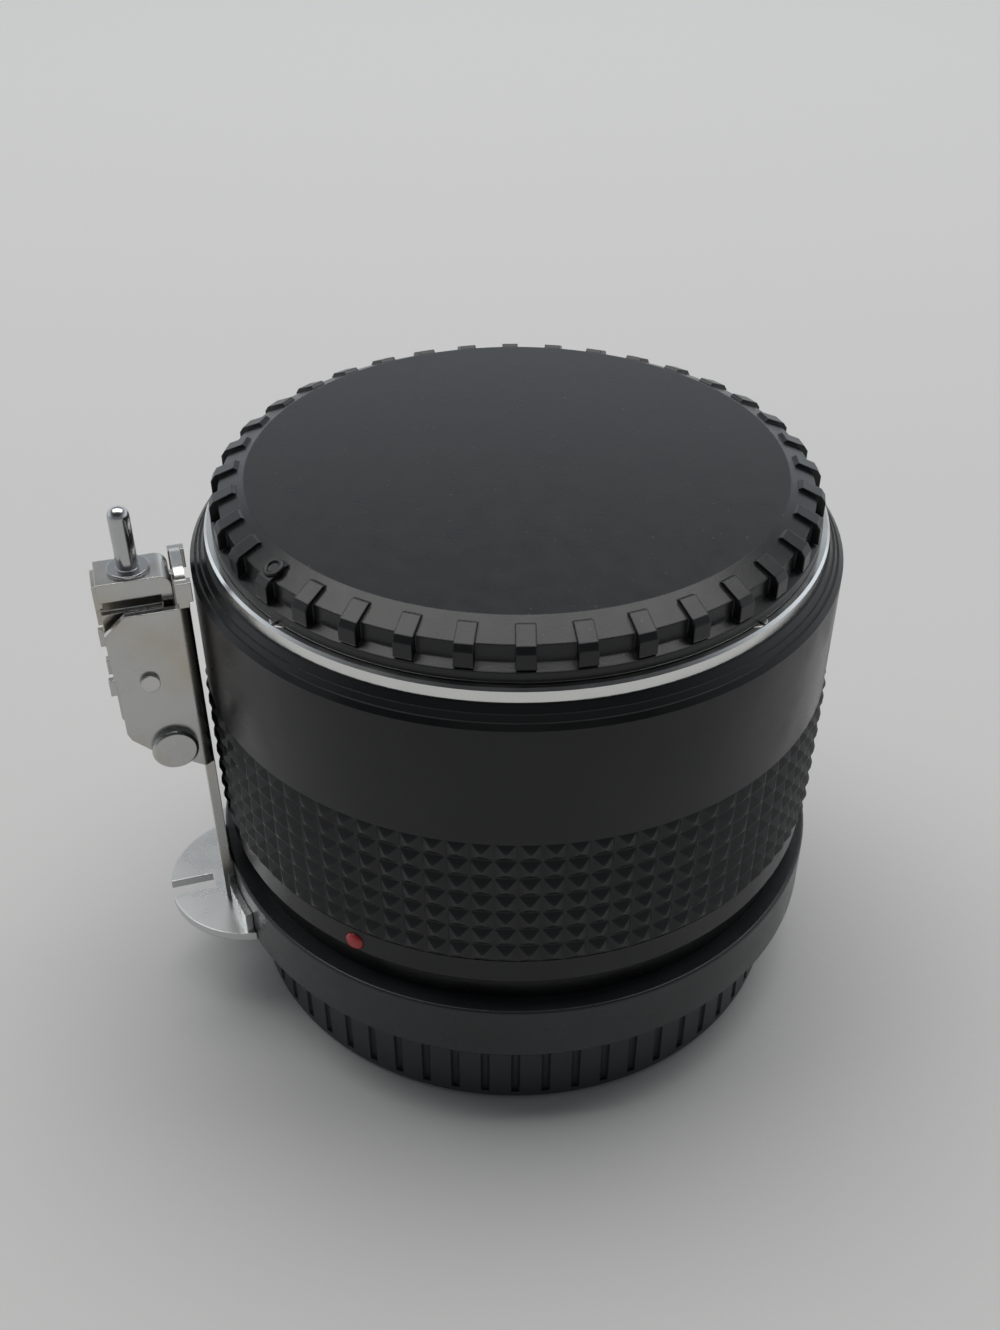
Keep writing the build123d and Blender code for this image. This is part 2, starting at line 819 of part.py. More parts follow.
with BuildPart() as coupling_arm:
    with BuildSketch(turned(coupling_azimuth).offset(cheek_low_z)):
        with Locations((plate_inner + cheek_reach, 0)):
            RectangleRounded(2 * cheek_reach, 2 * arm_half_width, arm_bend_radius)
        with Locations((arm_outer + cheek_reach, 0)):
            RectangleRounded(
                2 * cheek_reach, 2 * cheek_inner, arm_bend_radius - cheek_sheet, mode=Mode.SUBTRACT
            )
    extrude(amount=cheek_height)
    extrude(
        outline(
            beside(coupling_azimuth, arm_half_width),
            (plate_inner, cheek_low_z),
            *cheek_edge,
            (plate_inner, cheek_high_z),
        ),
        amount=2 * arm_half_width,
        mode=Mode.INTERSECT,
    )
    with BuildSketch(turned(coupling_azimuth).offset(coupling_top_z)):
        with Locations(((plate_inner + arm_outer) / 2, 0)):
            Rectangle(arm_thickness, 2 * strip_half_width)
    extrude(amount=cheek_low_z - coupling_top_z)
    with BuildSketch(turned(coupling_azimuth).offset(arm_foot_z)):
        with Locations(((plate_inner - strip_sag + arm_outer) / 2, 0)):
            Rectangle(arm_thickness + strip_sag, 2 * strip_half_width)
        Circle(plate_inner, mode=Mode.SUBTRACT)
    extrude(amount=coupling_top_z - arm_foot_z)
    with BuildSketch(facing(coupling_azimuth, plate_inner, 0)):
        with BuildLine():
            Polyline(
                (-arm_half_width, cheek_high_z),
                (-arm_half_width, arm_top_z),
                (arm_half_width, arm_top_z),
                (arm_half_width, cheek_high_z),
                close=True,
            )
        make_face()
        fillet(vertices().group_by(Axis.Y)[-1], radius=arm_corner_radius)
    extrude(amount=arm_thickness)
    for offset in (arm_half_width, guide_lip_width - arm_half_width):
        extrude(
            outline(
                beside(coupling_azimuth, offset),
                (plate_inner - guide_lip_reach, guide_lip_low_z),
                (arm_outer + guide_lip_rise, guide_lip_low_z),
                (arm_outer + guide_lip_rise, guide_lip_high_z),
                (plate_inner - guide_lip_reach, guide_lip_high_z),
            ),
            amount=guide_lip_width,
        )
    with BuildSketch(beside(coupling_azimuth, arm_half_width)):
        with Locations(stud_place):
            Circle(stud_radius + fixed_fit)
        with Locations(detent_place):
            Circle(detent_radius + fixed_fit)
    extrude(amount=2 * arm_half_width, mode=Mode.SUBTRACT)
    add(screw_seats(arm_screw_planes, arm_screw_length), mode=Mode.SUBTRACT)
write(coupling_arm, "coupling_arm")

with BuildPart() as arm_screws:
    add(screws(arm_screw_planes, arm_screw_length))
write(arm_screws, "arm_screws")

# Pivot stud through both cheeks, with a flat head at each end
stud_head_inner = arm_half_width + fixed_fit
stud_end = stud_head_inner + stud_head_height

with BuildPart() as pivot_stud:
    with BuildSketch(beside(coupling_azimuth, stud_end)):
        with Locations(stud_place):
            Circle(stud_radius)
    extrude(amount=2 * stud_end)
    for offset in (stud_end, -stud_head_inner):
        with BuildSketch(beside(coupling_azimuth, offset)):
            with Locations(stud_place):
                Circle(stud_head_radius)
        extrude(amount=stud_head_height)
    head_rims = edges().filter_by(GeomType.CIRCLE).group_by(SortBy.RADIUS)[-1]
    rims_across = head_rims.group_by(Axis((0, 0, 0), turned(coupling_azimuth).y_dir))
    chamfer(rims_across[0] + rims_across[-1], length=edge_break)
write(pivot_stud, "pivot_stud")

# Detent rivets, one in each cheek
rivet_outer = arm_half_width + fixed_fit + detent_head_height
rivet_inner = cheek_inner - detent_nose

with BuildPart() as detent_rivets:
    for offset in (rivet_outer, -rivet_inner):
        with BuildSketch(beside(coupling_azimuth, offset)):
            with Locations(detent_place):
                Circle(detent_radius)
        extrude(amount=rivet_outer - rivet_inner)
    for offset in (rivet_outer, detent_head_height - rivet_outer):
        with BuildSketch(beside(coupling_azimuth, offset)):
            with Locations(detent_place):
                Circle(detent_head_radius)
        extrude(amount=detent_head_height)
write(detent_rivets, "detent_rivets")

# Prong
prong_low_z = prong_top_z - prong_sheet

with BuildPart() as prong:
    with BuildSketch(turned(coupling_azimuth).offset(prong_low_z)):
        with Locations((prong_centre, 0)):
            Circle(prong_radius)
        with Locations((prong_slot_start + prong_radius, 0)):
            Rectangle(2 * prong_radius, prong_slot_width, mode=Mode.SUBTRACT)
    extrude(amount=prong_sheet)
    for azimuth in prong_tab_azimuths:
        extrude(
            sector(prong_low_z, plate_inner - prong_tab_sheet, tab_outer, azimuth, prong_tab_angle),
            amount=prong_sheet + prong_tab_height,
        )
    with BuildSketch(Plane.XY.offset(prong_low_z)):
        Circle(plate_inner)
    extrude(amount=prong_sheet + prong_tab_height, mode=Mode.SUBTRACT)
    add(screw_seats(prong_screw_planes, prong_screw_length), mode=Mode.SUBTRACT)
write(prong, "prong")

with BuildPart() as prong_screws:
    add(screws(prong_screw_planes, prong_screw_length))
write(prong_screws, "prong_screws")

# Pin lever between the cheeks, which folds outwards about the stud
lever_inner = arm_outer + open_gap
lever_channel = lever_inner + lever_sheet
lever_plate_z = lever_top_z - lever_sheet
lever_boss_height = cheek_inner - running_fit - lever_half_width
stud_z = stud_place[1]

with BuildPart() as pin_lever:
    with BuildSketch(beside(coupling_azimuth, lever_half_width)):
        with BuildLine():
            Polyline(
                (lever_inner, stud_z),
                (lever_inner, lever_top_z),
                (lever_outer, lever_top_z),
                (lever_outer, lever_wall_low_z),
                (stud_place[0] + lever_ear_radius, stud_z),
                close=True,
            )
        make_face()
        fillet(vertices().sort_by(Axis.X)[:2].sort_by(Axis.Y)[-1], radius=lever_bend_radius)
        with Locations(stud_place):
            Circle(lever_ear_radius)
        for nib_z in nib_low_zs:
            with Locations((lever_outer, nib_z + nib_height / 2)):
                Rectangle(2 * nib_reach, nib_height)
    extrude(amount=2 * lever_half_width)
    extrude(
        outline(
            beside(coupling_azimuth, lever_half_width - lever_sheet),
            (lever_channel, stud_z - lever_ear_radius - overrun),
            (lever_outer + overrun, stud_z - lever_ear_radius - overrun),
            (lever_outer + overrun, lever_plate_z),
            (lever_channel, lever_plate_z),
        ),
        amount=2 * (lever_half_width - lever_sheet),
        mode=Mode.SUBTRACT,
    )
    extrude(
        outline(
            beside(coupling_azimuth, lever_half_width),
            (lever_skirt_inner, lever_wall_top_z),
            (lever_outer + overrun, lever_wall_top_z),
            (lever_outer + overrun, lever_skirt_z),
            (lever_skirt_inner, lever_skirt_z),
        ),
        amount=2 * lever_half_width,
        mode=Mode.SUBTRACT,
    )
    extrude(
        outline(
            beside(coupling_azimuth, lever_tail_width / 2),
            (lever_outer - lever_sheet / 2, lever_tail_low_z),
            (lever_outer + lever_tail_reach, lever_tail_low_z),
            (lever_outer + lever_tail_reach, lever_tail_high_z),
            (lever_outer - lever_sheet / 2, lever_tail_high_z),
        ),
        amount=lever_tail_width,
    )
    for offset in (lever_half_width + lever_boss_height, -lever_half_width):
        with BuildSketch(beside(coupling_azimuth, offset)):
            with Locations(stud_place):
                Circle(lever_boss_radius)
        extrude(amount=lever_boss_height)
    with BuildSketch(beside(coupling_azimuth, arm_half_width)):
        with Locations(stud_place):
            Circle(stud_radius + running_fit)
    extrude(amount=2 * arm_half_width, mode=Mode.SUBTRACT)
    with BuildSketch(turned(coupling_azimuth).offset(lever_plate_z)):
        with Locations((pin_place, 0)):
            Circle(pin_shank_radius + fixed_fit)
    extrude(amount=lever_sheet, mode=Mode.SUBTRACT)
write(pin_lever, "pin_lever")

# Coupling pin: domed shaft, collar, and a shank peened under the cap plate
pin_foot_z = lever_plate_z - fixed_fit
pin_seat_z = lever_top_z + fixed_fit
pin_collar_z = pin_seat_z + pin_collar_height

with BuildPart() as coupling_pin:
    for low_z, high_z, radius in (
        (pin_foot_z - pin_foot_height, pin_foot_z, pin_foot_radius),
        (pin_foot_z, pin_seat_z, pin_shank_radius),
        (pin_seat_z, pin_collar_z, pin_collar_radius),
        (pin_collar_z, pin_top_z, pin_radius),
    ):
        with BuildSketch(turned(coupling_azimuth).offset(low_z)):
            with Locations((pin_place, 0)):
                Circle(radius)
        extrude(amount=high_z - low_z)
    fillet(edges().group_by(Axis.Z)[-1], radius=pin_radius - fixed_fit)
write(coupling_pin, "coupling_pin")

# Lens cell: flange on the barrel's ledge, tube in front of it, nose behind it
bar_slot_outer = rear_bar_inner + rear_bar_thickness + open_gap
bar_slot_angle = transfer_turn + 2 * transfer_bar_angle
ring_low_z = cell_flange_z + end_play
ring_high_z = ring_low_z + transfer_ring_height
wire_z = ring_high_z + running_fit + spring_wire_radius
retainer_ring_z = wire_z + spring_wire_radius + running_fit
groove_wall_radius = cell_tube_radius - retainer_ring_grip

with BuildPart() as lens_cell:
    revolve(
        profile(
            (cell_nose_radius, cell_low_z),
            (cell_nose_radius, cell_seat_z),
            (bore_radius - fixed_fit, cell_seat_z),
            (bore_radius - fixed_fit, cell_flange_z),
            (cell_tube_radius, cell_flange_z),
            (cell_tube_radius, retainer_ring_z),
            (groove_wall_radius, retainer_ring_z),
            (groove_wall_radius, retainer_ring_z + retainer_ring_height + fixed_fit),
            (cell_tube_radius, retainer_ring_z + retainer_ring_height + fixed_fit),
            (cell_tube_radius, cell_high_z),
            (front_group_radius, cell_high_z),
            (front_group_radius, cell_stop_high_z),
            (cell_stop_radius, cell_stop_high_z),
            (cell_stop_radius, cell_stop_low_z),
            (rear_group_radius, cell_stop_low_z),
            (rear_group_radius, cell_low_z),
        ),
        axis=Axis.Z,
    )
    chamfer(edges().group_by(Axis.Z)[-1], length=edge_break)
    extrude(
        sector(
            cell_seat_z,
            cell_tube_radius,
            bar_slot_outer,
            rear_bar_azimuth + transfer_turn / 2,
            bar_slot_angle,
        ),
        amount=cell_flange_thickness,
        mode=Mode.SUBTRACT,
    )
    add(screw_seats(cell_screw_planes, cell_screw_length), mode=Mode.SUBTRACT)
write(lens_cell, "lens_cell")

with BuildPart() as cell_screws:
    add(screws(cell_screw_planes, cell_screw_length))
write(cell_screws, "cell_screws")

# Glass, from the rear to the front, with its spacer and retaining rings
rear_glass_radius = rear_group_radius - fixed_fit
front_glass_radius = front_group_radius - fixed_fit
rear_element_z = cell_stop_low_z - rear_element_edge
rear_ring_seat = dome_rise(
    rear_glass_radius, rear_element_bulge, rear_glass_radius - retainer_wall
)
rear_retainer_z = rear_element_z - rear_ring_seat - retainer_height
cemented_z = cell_stop_high_z + cemented_rear_edge
spacer_z = cemented_z + cemented_front_edge
front_element_z = spacer_z + element_spacer_height
front_edge_z = front_element_z + front_element_edge
front_ring_seat = dome_rise(
    front_glass_radius, front_element_bulge, front_glass_radius - retainer_wall
)
front_retainer_z = front_edge_z + front_ring_seat
front_notch_z = front_retainer_z + retainer_height - retainer_notch_depth

rear_element = glass(
    rear_glass_radius, rear_element_z, cell_stop_low_z, -rear_element_bulge, 0
)
write(rear_element, "rear_element")

rear_retainer = notched_ring(rear_glass_radius, rear_retainer_z, rear_retainer_z)
write(rear_retainer, "rear_retainer")

cemented_rear = glass(
    front_glass_radius, cell_stop_high_z, cemented_z, cemented_hollow, cemented_bulge
)
write(cemented_rear, "cemented_rear")

cemented_front = glass(
    front_glass_radius, cemented_z, spacer_z, cemented_bulge, -cemented_hollow
)
write(cemented_front, "cemented_front")

with BuildPart() as element_spacer:
    with BuildSketch(Plane.XY.offset(spacer_z)):
        Circle(front_glass_radius)
        Circle(front_glass_radius - element_spacer_wall, mode=Mode.SUBTRACT)
    extrude(amount=element_spacer_height)
write(element_spacer, "element_spacer")

front_element = glass(
    front_glass_radius, front_element_z, front_edge_z, 0, front_element_bulge
)
write(front_element, "front_element")

front_retainer = notched_ring(front_glass_radius, front_retainer_z, front_notch_z)
write(front_retainer, "front_retainer")

# Aperture transfer ring, which turns on the cell's tube and carries two bars
transfer_inner = cell_tube_radius + running_fit
transfer_outer = transfer_inner + transfer_ring_wall

with BuildPart() as transfer_ring:
    with BuildSketch(Plane.XY.offset(ring_low_z)):
        Circle(transfer_outer)
        Circle(transfer_inner, mode=Mode.SUBTRACT)
    extrude(amount=transfer_ring_height)
    extrude(
        sector(
            rear_bar_low_z,
            rear_bar_inner,
            rear_bar_inner + rear_bar_thickness,
            rear_bar_azimuth,
            transfer_bar_angle,
        ),
        amount=ring_low_z - rear_bar_low_z,
    )
    extrude(
        sector(
            ring_high_z,
            front_bar_inner,
            front_bar_inner + front_bar_thickness,
            front_bar_azimuth,
            transfer_bar_angle,
        ),
        amount=front_bar_high_z - ring_high_z,
    )
write(transfer_ring, "transfer_ring")

# Open ring of spring wire on the transfer ring, and the split ring that keeps both on
wire_circle_radius = cell_tube_radius + fixed_fit + spring_wire_radius

with BuildPart() as return_spring:
    with BuildLine() as wire_turn:
        CenterArc((0, 0, wire_z), wire_circle_radius, 0, spring_wire_angle)
    with BuildSketch(Plane(origin=wire_turn.line @ 0, z_dir=wire_turn.line % 0)):
        Circle(spring_wire_radius)
    sweep(path=wire_turn.line)
write(return_spring, "return_spring")

with BuildPart() as transfer_retainer:
    extrude(
        sector(
            retainer_ring_z,
            groove_wall_radius + fixed_fit,
            groove_wall_radius + fixed_fit + retainer_ring_wall,
            0,
            retainer_ring_angle,
        ),
        amount=retainer_ring_height,
    )
write(transfer_retainer, "transfer_retainer")
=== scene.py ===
"""Looks of the teleconverter: camera, lamp, floor, finishes, and the pieces shaped here."""

from math import cos, pi, radians, sin

import bmesh
import bpy
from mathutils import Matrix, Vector


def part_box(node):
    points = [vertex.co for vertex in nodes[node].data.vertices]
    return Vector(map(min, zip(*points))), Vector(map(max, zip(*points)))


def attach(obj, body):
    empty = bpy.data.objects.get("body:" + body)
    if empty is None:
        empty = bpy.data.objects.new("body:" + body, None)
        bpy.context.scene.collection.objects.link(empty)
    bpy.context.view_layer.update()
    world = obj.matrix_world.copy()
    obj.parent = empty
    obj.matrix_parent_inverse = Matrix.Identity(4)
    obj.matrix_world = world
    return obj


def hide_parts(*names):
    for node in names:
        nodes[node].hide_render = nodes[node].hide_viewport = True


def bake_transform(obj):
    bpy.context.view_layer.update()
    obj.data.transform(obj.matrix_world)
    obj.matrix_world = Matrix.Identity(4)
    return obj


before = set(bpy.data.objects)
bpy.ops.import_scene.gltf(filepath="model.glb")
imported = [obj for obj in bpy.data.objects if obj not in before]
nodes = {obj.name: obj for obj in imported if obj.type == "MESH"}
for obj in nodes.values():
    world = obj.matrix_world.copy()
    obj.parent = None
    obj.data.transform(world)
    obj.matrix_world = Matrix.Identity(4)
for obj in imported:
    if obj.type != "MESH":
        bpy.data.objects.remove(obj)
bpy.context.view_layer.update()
MM = 0.001

# Camera, with the photograph's viewpoint and field of view
sensor_width = 36.0
lens_length = 37.895
near_limit = 0.005
camera_place = (-0.00163, -0.1216, 0.12619)
camera_tilt = radians(53.08)

# Lamp: a wide soft panel behind and above the object
lamp_size = (1.8, 0.9)
lamp_power = 15.6
lamp_place = (-0.03, 0.3, 1.17)
lamp_target = (0, 0, 0.03)
lamp_colour = (1.0, 0.99, 0.975)

# Room: how bright it is by height and by depth, as (start, stop, low, high)
room_colour = (0.88, 0.94, 1.0)
room_by_height = (0.25, 0.65, 1.0, 0.15)
room_by_depth = (-0.6, 0.1, 0.25, 1.0)

# Floor: pale paper, with painted light that makes its colour brighter farther back toward the
# lamp, and painted shade that dims it near the camera
floor_reach = 3
paper_colour = (0.54, 0.545, 0.54)
paper_roughness = 0.75
near_paper_painted_shade = (0.555, 0.556, 0.548)
far_paper_painted_light = (0.68, 0.682, 0.674)
paper_turn_start = 0.1
paper_turn_stop = 0.75
paper_grain_scale = 900
paper_grain_depth = 0.03 * MM


def add_thing(name, data):
    thing = bpy.data.objects.new(name, data)
    bpy.context.collection.objects.link(thing)
    return thing


eye = bpy.data.cameras.new("eye")
eye.sensor_width = sensor_width
eye.lens = lens_length
eye.clip_start = near_limit
camera = add_thing("camera", eye)
camera.location = camera_place
camera.rotation_euler = (camera_tilt, 0, 0)
bpy.context.scene.camera = camera
bpy.context.scene.view_settings.view_transform = "Standard"


# Material building blocks

def finish_of(name, colour, metallic, roughness, values=()):
    """A material whose uniform values are set on the shader's own sockets."""
    made = bpy.data.materials.new(name)
    made.use_nodes = True
    sockets = made.node_tree.nodes["Principled BSDF"].inputs
    sockets["Base Color"].default_value = (*colour, 1)
    sockets["Metallic"].default_value = metallic
    sockets["Roughness"].default_value = roughness
    for socket, value in dict(values).items():
        sockets[socket].default_value = value
    made.diffuse_color = (*colour, 1)
    return made


def shader_input(made, socket):
    return made.node_tree.nodes["Principled BSDF"].inputs[socket]


def add(made, kind, **settings):
    node = made.node_tree.nodes.new(kind)
    for setting, value in settings.items():
        setattr(node, setting, value)
    return node


def link(made, source, target):
    made.node_tree.links.new(source, target)


def speckle(made, scale, detail=3.0):
    """A noise over the piece, its scale in patches per metre."""
    place = add(made, "ShaderNodeTexCoord")
    noise = add(made, "ShaderNodeTexNoise")
    noise.inputs["Scale"].default_value = scale
    noise.inputs["Detail"].default_value = detail
    link(made, place.outputs["Object"], noise.inputs["Vector"])
    return noise.outputs["Fac"]


def radius_from_axis(made):
    """The place of a point, and its distance from the barrel's axis, in metres."""
    place = add(made, "ShaderNodeTexCoord")
    flat = add(made, "ShaderNodeVectorMath", operation="MULTIPLY")
    flat.inputs[1].default_value = (1, 1, 0)
    far = add(made, "ShaderNodeVectorMath", operation="LENGTH")
    link(made, place.outputs["Object"], flat.inputs[0])
    link(made, flat.outputs["Vector"], far.inputs[0])
    return place.outputs["Object"], far.outputs["Value"]


def lathe_lines(made, scale, detail=2.0):
    """A noise in fine rings round the axis, as a lathe leaves on walls and on flat faces."""
    place, far = radius_from_axis(made)
    split = add(made, "ShaderNodeSeparateXYZ")
    turned = add(made, "ShaderNodeCombineXYZ")
    noise = add(made, "ShaderNodeTexNoise")
    noise.inputs["Scale"].default_value = scale
    noise.inputs["Detail"].default_value = detail
    link(made, place, split.inputs["Vector"])
    link(made, far, turned.inputs["X"])
    link(made, split.outputs["Z"], turned.inputs["Y"])
    link(made, turned.outputs["Vector"], noise.inputs["Vector"])
    return noise.outputs["Fac"]


def relief(made, height, depth):
    """Raises the surface by a pattern, depth in metres, over any relief that it already has."""
    bump = add(made, "ShaderNodeBump")
    bump.inputs["Strength"].default_value = 1.0
    bump.inputs["Distance"].default_value = depth
    normal = shader_input(made, "Normal")
    if normal.is_linked:
        link(made, normal.links[0].from_socket, bump.inputs["Normal"])
    link(made, height, bump.inputs["Height"])
    link(made, bump.outputs["Normal"], normal)


def round_edges(made, radius):
    """Lets sharp edges catch the light as if a small radius broke them."""
    edge = add(made, "ShaderNodeBevel", samples=6)
    edge.inputs["Radius"].default_value = radius
    link(made, edge.outputs["Normal"], shader_input(made, "Normal"))


def vary(made, socket, factor, low, high, start=0.35, stop=0.65):
    """Runs a value of the shader from low to high as the factor goes from start to stop."""
    spread = add(made, "ShaderNodeMapRange")
    spread.inputs["From Min"].default_value = start
    spread.inputs["From Max"].default_value = stop
    link(made, factor, spread.inputs["Value"])
    if isinstance(low, tuple):
        blend = add(made, "ShaderNodeMix", data_type="RGBA")
        first, second = [s for s in blend.inputs if s.type == "RGBA"]
        first.default_value = (*low, 1)
        second.default_value = (*high, 1)
        link(made, spread.outputs["Result"], blend.inputs["Factor"])
        output = [s for s in blend.outputs if s.type == "RGBA"][0]
        link(made, output, shader_input(made, socket))
    else:
        spread.inputs["To Min"].default_value = low
        spread.inputs["To Max"].default_value = high
        link(made, spread.outputs["Result"], shader_input(made, socket))


def vary_roughness(made, scale, detail, middle, less, more, start=0.35, stop=0.65):
    patches = speckle(made, scale, detail)
    vary(made, "Roughness", patches, middle - less, middle + more, start, stop)


def cool(shade, red, blue):
    """A near-black grey of the given shade that leans to blue."""
    return (shade * red, shade, shade * blue)


# Families of finishes

def black_metal(name, shade, roughness):
    """Satin black anodised metal: fine grain, faint rubbed patches."""
    red = 0.94
    blue = 1.1
    made = finish_of(name, cool(shade, red, blue), 0.0, roughness, {"Specular IOR Level": 0.36})
    relief(made, speckle(made, 9000), 0.006 * MM)
    vary_roughness(made, 160, 5, roughness, 0.05, 0.07)
    rubbed = speckle(made, 90, 6)
    vary(made, "Base Color", rubbed, cool(shade * 0.85, red, blue), cool(shade * 1.25, red, blue))
    return made


def moulded_plastic(name, shade, roughness):
    """Fine moulded plastic with a soft grain, and dust that shows as paler specks."""
    colour = cool(shade, 0.92, 1.14)
    dust_start = 0.74
    dust_stop = 0.8
    pale = shade + 0.05
    made = finish_of(name, colour, 0.0, roughness, {"Specular IOR Level": 0.45})
    round_edges(made, 0.2 * MM)
    relief(made, speckle(made, 5200, 2), 0.01 * MM)
    relief(made, speckle(made, 900, 3), 0.004 * MM)
    vary_roughness(made, 420, 6, roughness, 0.03, 0.03, 0.3, 0.7)
    dust = speckle(made, 2600, 1)
    vary(made, "Base Color", dust, colour, (pale, pale, pale), dust_start, dust_stop)
    return made


def bright_metal(name, colour, roughness, turned=False, warm=None, patches=0.045):
    """Plated metal: lathe rings or a rolled grain, fingered patches, a warm tint where given."""
    warm_start = 0.5
    warm_stop = 0.72
    made = finish_of(name, colour, 1.0, roughness)
    if turned:
        relief(made, lathe_lines(made, 7000), 0.0002 * MM)
    else:
        round_edges(made, 0.15 * MM)
        relief(made, speckle(made, 1500, 4), 0.0005 * MM)
    vary_roughness(made, 240, 5, roughness, patches, patches)
    if warm:
        vary(made, "Base Color", speckle(made, 130, 3), colour, warm, warm_start, warm_stop)
    return made


warm_steel = (0.52, 0.475, 0.41)
glass_values = {
    "Transmission Weight": 1.0,
    "IOR": 1.62,
    "Coat Weight": 0.4,
    "Coat Tint": (0.75, 0.6, 1.0, 1),
}
finishes = {
    "barrel_black": black_metal("barrel_black", 0.0042, 0.3),
    "grip_black": black_metal("grip_black", 0.009, 0.36),
    # The coupling ring's own dark grey, set a little paler as painted fill light in the shaded
    # groove
    "ring_grey": black_metal("ring_grey", 0.026, 0.28),
    "cell_black": black_metal("cell_black", 0.008, 0.6),
    "cap_plastic": moulded_plastic("cap_plastic", 0.005, 0.3),
    # Painted light: the rear cap's black plastic is set paler, standing in for fill light on its
    # shaded underside
    "foot_plastic_painted_light": moulded_plastic("foot_plastic_painted_light", 0.028, 0.42),
    "dot_red": finish_of("dot_red", (0.42, 0.012, 0.016), 0.0, 0.38, {"Coat Weight": 0.3}),
    "mount_chrome": bright_metal("mount_chrome", (0.76, 0.76, 0.75), 0.2, turned=True),
    "button_chrome": bright_metal("button_chrome", (0.5, 0.5, 0.51), 0.18),
    "screw_steel": bright_metal("screw_steel", (0.62, 0.61, 0.6), 0.3),
    "spring_steel": bright_metal("spring_steel", (0.5, 0.5, 0.5), 0.34),
    "arm_steel": bright_metal("arm_steel", (0.54, 0.54, 0.53), 0.24, warm=warm_steel),
    "prong_chrome": bright_metal("prong_chrome", (0.64, 0.655, 0.655), 0.28, patches=0.015),
    "transfer_brass": bright_metal("transfer_brass", (0.68, 0.5, 0.25), 0.34, turned=True),
    "coated_glass": finish_of("coated_glass", (0.97, 0.98, 1.0), 0.0, 0.02, glass_values),
}

# Grain of the enamel dot, and faint smears on the glass
red = finishes["dot_red"]
relief(red, speckle(red, 4000, 3), 0.015 * MM)
vary(red, "Roughness", speckle(red, 1800, 3), 0.3, 0.5)
glass = finishes["coated_glass"]
vary(glass, "Roughness", speckle(glass, 300, 4), 0.005, 0.04)

# The grip's pyramid tips are rubbed a little paler than its flanks
flank_colour = (0.007, 0.0075, 0.008)
tip_colour = (0.02, 0.021, 0.023)
wear_start = 32.5 * MM
wear_stop = 32.78 * MM
wear = radius_from_axis(finishes["grip_black"])[1]
vary(finishes["grip_black"], "Base Color", wear, flank_colour, tip_colour, wear_start, wear_stop)

# The finish of every CAD node
made_for = {
    "main_barrel": "barrel_black",
    "index_dot": "dot_red",
    "grip_ring": "grip_black",
    "front_barrel": "barrel_black",
    "front_mount": "mount_chrome",
    "front_mount_screws": "screw_steel",
    "mount_spring": "spring_steel",
    "lock_pin": "screw_steel",
    "release_button": "button_chrome",
    "button_screw": "screw_steel",
    "lock_spring": "spring_steel",
    "front_cap": "cap_plastic",
    "rear_mount": "mount_chrome",
    "rear_mount_screws": "screw_steel",
    "rear_cap": "foot_plastic_painted_light",
    "coupling_ring": "ring_grey",
    "coupling_arm": "arm_steel",
    "arm_screws": "screw_steel",
    "pivot_stud": "arm_steel",
    "detent_rivets": "screw_steel",
    "prong": "prong_chrome",
    "prong_screws": "screw_steel",
    "pin_lever": "arm_steel",
    "coupling_pin": "button_chrome",
    "lens_cell": "cell_black",
    "cell_screws": "screw_steel",
    "rear_element": "coated_glass",
    "rear_retainer": "cell_black",
    "cemented_rear": "coated_glass",
    "cemented_front": "coated_glass",
    "element_spacer": "cell_black",
    "front_element": "coated_glass",
    "front_retainer": "cell_black",
    "transfer_ring": "transfer_brass",
    "return_spring": "spring_steel",
    "transfer_retainer": "spring_steel",
}
for name, thing in nodes.items():
    for place in thing.material_slots:
        place.material = finishes[made_for[name]]


# Pieces shaped here

def add_mesh(name, points, faces, finish):
    mesh = bpy.data.meshes.new(name)
    mesh.from_pydata(points, [], faces)
    mesh.materials.append(finish)
    mesh.validate()
    return add_thing(name, mesh)


def pyramid_grip():
    """The grip ring with its rows of small blunt pyramids, and the smooth bore behind them."""
    low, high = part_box("grip_ring")
    rows = 7
    columns = 92
    tip_radius = high[0]
    root_radius = 32.2 * MM
    bore_radius = 31.3 * MM
    blunt = 0.07
    edge_break = 0.05 * MM
    sharp_angle = radians(12)
    bottom = low[2]
    pitch = (high[2] - bottom) / rows

    def at(radius, column, row):
        angle = 2 * pi * column / columns
        return (radius * cos(angle), radius * sin(angle), bottom + pitch * row)

    points = [
        at(root_radius, column, row) for row in range(rows + 1) for column in range(columns)
    ]
    faces = []
    for row in range(rows):
        for column in range(columns):
            beyond = (column + 1) % columns
            base = [
                row * columns + column,
                row * columns + beyond,
                (row + 1) * columns + beyond,
                (row + 1) * columns + column,
            ]
            top = []
            for across, up in ((-1, -1), (1, -1), (1, 1), (-1, 1)):
                top.append(len(points))
                corner = (column + 0.5 + blunt * across, row + 0.5 + blunt * up)
                points.append(at(tip_radius, *corner))
            faces.append(top)
            for side in range(4):
                after = (side + 1) % 4
                faces.append([base[side], base[after], top[after], top[side]])

    # The bore behind the pyramids, and the ring's two end faces
    upper = rows * columns
    lower_bore = len(points)
    points.extend(at(bore_radius, column, 0) for column in range(columns))
    upper_bore = len(points)
    points.extend(at(bore_radius, column, rows) for column in range(columns))
    for column in range(columns):
        beyond = (column + 1) % columns
        low_here, low_beyond = lower_bore + column, lower_bore + beyond
        high_here, high_beyond = upper_bore + column, upper_bore + beyond
        faces.append([beyond, column, low_here, low_beyond])
        faces.append([upper + column, upper + beyond, high_beyond, high_here])
        faces.append([low_beyond, low_here, high_here, high_beyond])

    made = add_mesh("grip_pyramids", points, faces, finishes["grip_black"])
    soften = made.modifiers.new("soften", "BEVEL")
    soften.width = edge_break
    soften.segments = 1
    soften.limit_method = "ANGLE"
    soften.angle_limit = sharp_angle
    return made


grip = pyramid_grip()
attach(grip, "barrel")
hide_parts("grip_ring")


